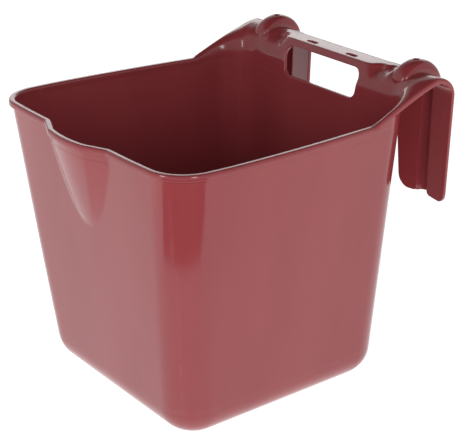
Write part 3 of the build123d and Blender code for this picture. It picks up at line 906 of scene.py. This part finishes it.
def sag(s):
    """How far the middle of the hook is bowed back at a distance along it."""
    down = max(0.0, s - BEND) / (LEG_LENGTH - BEND)
    return SAG_TOP * smooth(s / BEND) + (SAG_FOOT - SAG_TOP) * down


def across(x):
    """1 beside the channel, falling to a small share at the hook's side edges."""
    if x < RIB_X:
        share, edge = (x - HOOK_IN_X) / (RIB_X - CHANNEL_HALF - HOOK_IN_X), SAG_IN
    else:
        share, edge = (HOOK_OUT_X - x) / (HOOK_OUT_X - RIB_X - CHANNEL_HALF), SAG_OUT
    return edge + (1 - edge) * clip(share)


def strap_sides(side, s):
    """Left and right x of one half of the hook at a distance along it, inset by the edge strips."""
    if side == "inner":
        taper = max(0.0, (LEG_TAPER_Z - leg_path(s, 0)[1]) / (LEG_TAPER_Z - LEG_FOOT))
        return HOOK_IN_X + taper * LEG_TAPER + THIN_EDGE, NOTCH_IN
    # the outer edge strip narrows over the arch
    return NOTCH_OUT, HOOK_OUT_X - EDGE_WIDTH - (THIN_EDGE - EDGE_WIDTH) * smooth(s / HOOK_DEPTH_RUN)


def round_foot(x, s, low_s, sides, radii):
    """Pulls a point in a square corner of the foot onto the rounded corner."""
    for edge, r, way in zip(sides, radii, (1, -1)):
        cx, cs = edge + way * r, low_s - r
        dx, ds = (cx - x) * way, s - cs
        if dx > 0 and ds > 0:
            k = max(dx, ds) / math.hypot(dx, ds)
            return cx - way * dx * k, cs + ds * k
    return x, s


def add_strap(shell, side, sign, crown_x):
    """One half of a hook, beside its rib's channel, from the crown to the foot."""
    low_s = LEG_LENGTH - THIN_EDGE
    shared = [(RIGHT_ANGLE - a) * ARCH_R for a in ARCH_SHARED]
    grid = []
    for row_s in [*shared, *np.linspace(shared[-1], low_s, 34)[1:]]:
        left, right = strap_sides(side, row_s)
        row = []
        for crown in crown_x:
            x = left + (right - left) * (crown - crown_x[0]) / (crown_x[-1] - crown_x[0])
            x, s = round_foot(x, row_s, low_s, (left, right), FOOT_CORNERS[side])
            bow = np.array([sag(s) * across(x), 0.0])
            pair = [leg_path(s, thick) + bow for thick in (0, SHEET)]
            if not grid:
                pair = [line[-1] for line in back_section(x)]
            row.append([np.array([sign * x, *p]) for p in pair])
        grid.append(row)
    shell.patch(grid, ("right" if sign > 0 else "left") + "_hook_" + side + "_strap")


def main_edge(p, t):
    """Width, depth and roll of the edge strip at a point of the top skin's edge."""
    x, y, z = abs(p[0]), p[1], p[2]

    def within(x0, x1, y0, y1):
        return x0 < x < x1 and y0 < y < y1

    if within(*HOLE_EDGES) and z < HOLE_ROWS[1] + 0.1:
        return HOLE_EDGE, t, 1.0
    if within(*SLOT_EDGES):
        return SLOT_EDGE, t, 0.6
    if within(*NOTCH_EDGES) or y > CROWN_Y + 0.5 and x < HOOK_OUT_X - 6:
        return THIN_EDGE, t, THIN_ROLL
    if y > CROWN_Y - 0.01:
        below_arch = math.atan2(z - ARCH_Z, y - CROWN_Y) <= RIGHT_ANGLE - 1.6
        w = THIN_EDGE if below_arch else min(EDGE_WIDTH, max(THIN_EDGE, HOOK_OUT_X - x))
        depth = t + (HOOK_DEPTH - t) * (w - THIN_EDGE) / (EDGE_WIDTH - THIN_EDGE)
        return w, depth, min(EDGE_ROLL, w * 0.85)
    run = clip((y - EDGING_Y) / (CROWN_Y - EDGING_Y))
    return EDGE_WIDTH, max(t, RIM_DEPTH + (HOOK_DEPTH - RIM_DEPTH) * run), EDGE_ROLL


def main_edge_label(p, label):
    edging = label.endswith("_shoulder") and abs(p[0]) > 130 and p[1] < CROWN_Y
    return side_name(p) + "_edging" if edging else label


# ---------------------------------------------------------------- ribs

def rib_line(a, inset):
    """(y, z) on the rib's ridge at an angle: a tighter arc in front of its top than behind it."""
    r = RIB_FRONT_R if a > RIGHT_ANGLE else RIB_REAR_R
    return np.array([RIB_TOP_Y, RIB_TOP - r]) + (r - inset) * np.array([math.cos(a), math.sin(a)])


def rib_seat(s):
    return leg_path(s, RIB_SEAT) + np.array([sag(s), 0.0])


def rib_base(a):
    """(y, z) where the rib's sides meet the hook, at an angle."""
    if a > RIGHT_ANGLE:
        y = rib_line(a, 0)[0]
        if y <= CROWN_Y:
            ys, zs = zip(*back_section(RIB_X)[0])
            return np.array([y, np.interp(y, ys, zs) - RIB_SEAT])
        return rib_seat(ARCH_R * math.asin((y - CROWN_Y) / ARCH_R))
    first = ARCH_R * math.asin((RIB_TOP_Y - CROWN_Y) / ARCH_R)
    return rib_seat(first + (BEND - first) * (1 - a / RIGHT_ANGLE))


def rib_spine(wall):
    """Ridge, base and half width of the rib, then of its channel, from the nose over the top to the foot."""
    spine = []
    angles = [*np.linspace(157, 104, 15), *np.linspace(104, 76, 9)[1:], *np.linspace(76, 0, 15)[1:]]
    for a in np.radians(angles):
        nose = min(1.0, (RIB_NOSE - a) / RIB_NOSE_RUN)
        half = RIB_HALF * math.sqrt(max(0.0, 1 - (1 - nose) ** 2)) ** 0.9
        inner_a = min(a, CHANNEL_NOSE)
        spine.append((rib_line(a, 0), rib_base(a), max(half, 0.6), rib_line(inner_a, wall), rib_base(inner_a),
                      max(0.4, half - wall * min(1.0, 0.3 + nose))))
    ridge, channel = spine[-1][0], spine[-1][3]
    drop = ridge[1] - LEG_FOOT - THIN_EDGE
    for f in np.linspace(0, 1, 27)[1:]:
        down = np.array([-RIB_LEAN * drop * f, -drop * f])
        base = rib_seat(BEND + (LEG_LENGTH - THIN_EDGE - BEND) * f)
        spine.append((ridge + down, base, RIB_HALF, channel + down, base, CHANNEL_HALF))
    return spine


def rib_shell():
    """The right-hand rib: a hollow dome on the crown that runs down the back of the leg."""
    shell = Shell()
    wall = RIB_HALF - CHANNEL_HALF
    spine = rib_spine(wall)
    turns = [0, 14, 28, 38, 46, 53, 60, 66, 72, 77, *np.linspace(82, 98, 7),
             103, 108, 114, 120, 127, 134, 142, 152, 166, 180]
    grid = []
    for ridge, base, half, ridge_in, base_in, half_in in spine:
        row = []
        for turn in np.radians(turns):
            cx = math.copysign(abs(math.cos(turn)) ** RIB_POWER, math.cos(turn))
            up = abs(math.sin(turn)) ** RIB_POWER
            row.append([np.array([RIB_X - cx * w, *(low + (high - low) * up)])
                        for high, low, w in ((ridge, base, half), (ridge_in, base_in, half_in))])
        grid.append(row)
    # the hole's window in the grid, round the rib's top
    near = [i for i, ((y, z), *_) in enumerate(spine) if abs(y - RIB_TOP_Y) < 5.4 and z > CROWN_Z]
    cols = [j for j, turn in enumerate(turns) if abs(turn - 90) < 30.5]
    window = near[0], near[-1], cols[0], cols[-1]
    ids = shell.patch(grid, "hook_rib", [window])
    outer = [ids[i][j] for i, j in round_window(*window)]
    centre = np.array([RIB_X, RIB_TOP_Y])
    spots = []
    for v in outer:
        a = heading(shell.top[v][:2] - centre)
        spots.append(centre + (RIB_HOLE_R + RIB_HOLE_EDGE) * np.array([math.cos(a), math.sin(a)]))
    shell.level_hole(outer, spots, (RIB_HOLE_Z, RIB_HOLE_Z - wall), 2, 4, "hook_rib")
    return shell


def rib_edge(p, t):
    """Width, depth and roll of the rib's edge strips: its hole's, its foot's, and none to speak of."""
    if p[2] > CROWN_Z + 4 and abs(p[1] - RIB_TOP_Y) < 5:
        return RIB_HOLE_EDGE, t, 0.5
    if p[2] < LEG_FOOT + THIN_EDGE + 0.6 and p[1] > 172:
        return THIN_EDGE, t, THIN_ROLL
    return 0.05, t, 0.04


# ---------------------------------------------------------------- build

def build_model():
    shell = Shell()
    add_tub(shell)
    add_rim(shell)
    crown = sorted({round(x, 6) for x in add_back(shell)})
    add_bar_roll(shell)
    inner = [x for x in crown if HOOK_IN_X + THIN_EDGE - 0.05 < x < NOTCH_IN + 0.05]
    outer = [x for x in crown if NOTCH_OUT - 0.05 < x < HOOK_OUT_X - EDGE_WIDTH + 0.01]
    for sign in (1, -1):
        add_strap(shell, "inner", sign, inner)
        add_strap(shell, "outer", sign, outer)
    pieces = build_shell(shell, main_edge, main_edge_label)
    objects = {name: make_piece(name + "_skin", *data) for name, data in pieces.items()}
    rib = build_shell(rib_shell(), rib_edge, lambda p, label: label)["hook_rib"]
    for side in ("right", "left"):
        objects[side + "_hook_rib"] = make_piece(side + "_hook_rib_skin", *rib, mirror=side == "left")
    return objects


objects = build_model()

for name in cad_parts:
    if name in objects:
        piece = objects[name]
        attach(piece, "root")
        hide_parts(name)


# ---------------------------------------------------------------- material

class Nodes:
    """Short calls for building a node material."""

    def __init__(self, name):
        self.material = bpy.data.materials.new(name)
        self.material.use_nodes = True
        self.tree = self.material.node_tree
        self.tree.nodes.clear()
        self.where = self.add("ShaderNodeTexCoord").outputs["Object"]

    def add(self, kind, inputs=None, **settings):
        node = self.tree.nodes.new(kind)
        for key, value in settings.items():
            setattr(node, key, value)
        for key, value in (inputs or {}).items():
            if isinstance(value, bpy.types.NodeSocket):
                self.tree.links.new(value, node.inputs[key])
            else:
                node.inputs[key].default_value = value
        return node

    def math(self, operation, a, b=0.0, clamp=False):
        return self.add("ShaderNodeMath", {0: a, 1: b}, operation=operation, use_clamp=clamp).outputs[0]

    def times(self, a, b):
        return self.math("MULTIPLY", a, b)

    def noise(self, where, scale, detail=3.0, roughness=0.5):
        inputs = {"Vector": where, "Scale": scale, "Detail": detail, "Roughness": roughness}
        return self.add("ShaderNodeTexNoise", inputs).outputs["Fac"]

    def stretched(self, level, upright):
        inputs = {"Vector": self.where, "Scale": (level, level, upright)}
        return self.add("ShaderNodeMapping", inputs).outputs[0]

    def band(self, value, low, high, out_low=0.0, out_high=1.0):
        inputs = {"Value": value, "From Min": low, "From Max": high, "To Min": out_low, "To Max": out_high}
        return self.add("ShaderNodeMapRange", inputs, clamp=True).outputs[0]

    def mix(self, share, a, b):
        return self.add("ShaderNodeMix", {"Factor": share, 6: a, 7: b}, data_type="RGBA").outputs[2]

    def finish(self, **inputs):
        shader = self.add("ShaderNodeBsdfPrincipled", {k.replace("_", " "): v for k, v in inputs.items()})
        self.add("ShaderNodeOutputMaterial", {0: shader.outputs[0]})
        return self.material


BURGUNDY = (0.330, 0.052, 0.058, 1.0)
BURGUNDY_DEEP = (0.300, 0.044, 0.051, 1.0)
SCUFFED = (0.44, 0.14, 0.15, 1.0)


def moulding_material():
    """Glossy burgundy polypropylene, coloured right through, with moulding flow and light scuffs."""
    n = Nodes("burgundy_polypropylene")
    height = n.add("ShaderNodeSeparateXYZ", {0: n.where}).outputs[2]
    # colour: slow drift of the pigment, stretched along the way the plastic flowed
    drift = n.noise(n.stretched(9.0, 2.5), 1.6, 4.0, 0.55)
    colour = n.mix(n.band(drift, 0.35, 0.68), BURGUNDY_DEEP, BURGUNDY)
    # wear: edges rubbed paler, and the foot where the bucket is set down
    edge = n.add("ShaderNodeNewGeometry").outputs["Pointiness"]
    patchy = n.noise(n.where, 60.0, 4.0, 0.6)
    rubbed = n.times(n.band(edge, 0.54, 0.66), n.band(patchy, 0.4, 0.7))
    foot = n.times(n.band(height, 0.012, 0.0, 0.0, 0.6), n.band(patchy, 0.4, 0.65))
    wear = n.math("MAXIMUM", rubbed, foot)
    colour = n.mix(n.times(wear, 0.4), colour, SCUFFED)
    # fine scratches, mostly upright, as from being slid over a board
    scratch = n.band(n.noise(n.stretched(700.0, 9.0), 1.0, 2.0, 0.5), 0.66, 0.74)
    scratch = n.times(scratch, n.band(n.noise(n.where, 14.0, 2.0), 0.55, 0.7))
    # roughness
    rough = n.band(n.noise(n.where, 7.0, 4.0, 0.6), 0.3, 0.75, 0.13, 0.16)
    rough = n.math("ADD", rough, n.times(wear, 0.2))
    rough = n.math("ADD", rough, n.times(scratch, 0.12), clamp=True)
    # bump: the soft waviness of a thin moulding, upright draw lines and a very fine skin
    wave = n.noise(n.stretched(6.0, 3.0), 2.2, 1.5, 0.4)
    skin = n.noise(n.where, 900.0, 2.0, 0.5)
    ripple = n.times(n.noise(n.stretched(95.0, 1.6), 1.0, 2.0, 0.5), 0.035)
    tall = n.math("ADD", n.math("ADD", wave, ripple), n.times(skin, 0.010))
    tall = n.math("SUBTRACT", tall, n.times(scratch, 0.004))
    bump = n.add("ShaderNodeBump", {"Height": tall, "Strength": 0.3, "Distance": 0.003}).outputs[0]
    return n.finish(Base_Color=colour, Roughness=rough, Normal=bump, IOR=1.50, Specular_IOR_Level=0.5,
                    Coat_Weight=0.05, Coat_Roughness=0.06)


FLOOR_GLOW = 0.98         # the floor is a lit white table, which keeps its shadows faint


def floor_material():
    n = Nodes("pale_floor")
    tone = n.mix(n.noise(n.where, 3.0), (0.28, 0.28, 0.28, 1), (0.30, 0.30, 0.30, 1))
    return n.finish(Base_Color=tone, Roughness=0.9, Specular_IOR_Level=0.1, Emission_Color=(1, 1, 1, 1),
                    Emission_Strength=FLOOR_GLOW)


def painted_reflection_material():
    n = Nodes("painted_reflection_card")
    # painted reflection: near-black, seen only in the walls' reflections, where it darkens the near corner
    return n.finish(Base_Color=(0.03, 0.03, 0.03, 1.0))


plastic = moulding_material()
for obj in objects.values():
    obj.data.materials.append(plastic)


# ---------------------------------------------------------------- camera, floor and light

AIM = Vector((0.0, -0.004, 0.135))
AZIMUTH, ELEVATION, ROLL = math.radians(55.5), math.radians(22.5), math.radians(-0.9)
DISTANCE = 1.446
FOCAL_PX, WIDTH_PX = 1502.0, 466.0
SHIFT_PX = (23.1, 22.7)
SENSOR = 36.0
HORIZON, OVERHEAD = 0.52, 0.8         # world heights between which its light falls off
FLAG_FAR = 2.2
# azimuth and distance of the near edge of the dark card that paints the near corner's dark reflection,
# slanted at the right end
FLAG_EDGE = [(azimuth, 0.40) for azimuth in range(3, 76, 8)] + [(84, 0.44), (92, 0.49), (100, 0.6)]


def direction(azimuth, elevation):
    """Unit vector towards a place round the object: azimuth 0 is in front of the spout."""
    level = math.cos(elevation)
    return Vector((math.sin(azimuth) * level, -math.cos(azimuth) * level, math.sin(elevation)))


def make_camera():
    data = bpy.data.cameras.new("camera")
    camera = link("camera", data)
    back = direction(AZIMUTH, ELEVATION)
    level = Vector((math.cos(AZIMUTH), math.sin(AZIMUTH), 0.0))
    rise = back.cross(level)
    right = level * math.cos(ROLL) + rise * math.sin(ROLL)
    up = rise * math.cos(ROLL) - level * math.sin(ROLL)
    place = Matrix((right, up, back)).transposed().to_4x4()
    place.translation = AIM + back * DISTANCE
    camera.matrix_world = place
    data.sensor_width = SENSOR
    data.lens = FOCAL_PX / WIDTH_PX * SENSOR
    data.shift_x, data.shift_y = (shift / WIDTH_PX for shift in SHIFT_PX)
    data.clip_start, data.clip_end = 0.05, 30.0
    bpy.context.scene.camera = camera


def make_card(name, points, faces, material):
    """A flat piece of the setting."""
    mesh = bpy.data.meshes.new(name)
    mesh.from_pydata(points, [], faces)
    mesh.materials.append(material)
    return link(name, mesh)


def make_floor():
    half, low = 6.0, -0.0005
    corners = [(-half, -half, low), (half, -half, low), (half, half, low), (-half, half, low)]
    floor = make_card("floor", corners, [(0, 1, 2, 3)], floor_material())


def make_flag():
    """A dark card on the floor in front of the near corner that only reflections see: a painted dark
    reflection on the near corner's walls.
    """
    points = []
    for azimuth, near in FLAG_EDGE:
        a = math.radians(azimuth)
        for distance in (near, FLAG_FAR):
            points.append((math.sin(a) * distance, -math.cos(a) * distance, 0.001))
    faces = [(2 * k, 2 * k + 1, 2 * k + 3, 2 * k + 2) for k in range(len(FLAG_EDGE) - 1)]
    flag = make_card("flag", points, faces, painted_reflection_material())
    # hidden from the camera, from diffuse light and from shadows, so the card only paints a dark reflection
    flag.visible_camera = flag.visible_diffuse = flag.visible_shadow = False


def make_panel(name, azimuth, elevation, distance, size, power):
    """A large soft light panel that faces the bucket."""
    data = bpy.data.lights.new(name, "AREA")
    data.shape = "RECTANGLE"
    data.size, data.size_y = size
    data.energy = power
    panel = link(name, data)
    panel.location = AIM + direction(math.radians(azimuth), math.radians(elevation)) * distance
    panel.rotation_euler = (panel.location - AIM).to_track_quat("Z", "Y").to_euler()


def make_world(level):
    """Light from all round near the horizon, and none from overhead."""
    world = bpy.data.worlds.new("studio")
    bpy.context.scene.world = world
    world.use_nodes = True
    tree = world.node_tree
    where = tree.nodes.new("ShaderNodeTexCoord")
    split = tree.nodes.new("ShaderNodeSeparateXYZ")
    fall = tree.nodes.new("ShaderNodeMapRange")
    fall.interpolation_type = "SMOOTHSTEP"
    for key, value in {"From Min": HORIZON, "From Max": OVERHEAD, "To Min": level, "To Max": 0.0}.items():
        fall.inputs[key].default_value = value
    background = tree.nodes["Background"].inputs
    background["Color"].default_value = (1.0, 1.0, 1.0, 1.0)
    tree.links.new(where.outputs["Generated"], split.inputs[0])
    tree.links.new(split.outputs[2], fall.inputs["Value"])
    tree.links.new(fall.outputs[0], background["Strength"])


make_camera()
make_floor()
make_flag()
make_world(0.6)
for name, azimuth in (("left_box", 2), ("right_box", 76)):
    make_panel(name, azimuth, 22, 1.7, (0.3, 0.6), 4)
make_panel("back_box", 180 + math.degrees(AZIMUTH), math.degrees(ELEVATION) - 2, 1.9, (2.0, 0.4), 4)
bpy.context.scene.view_settings.view_transform = "Standard"
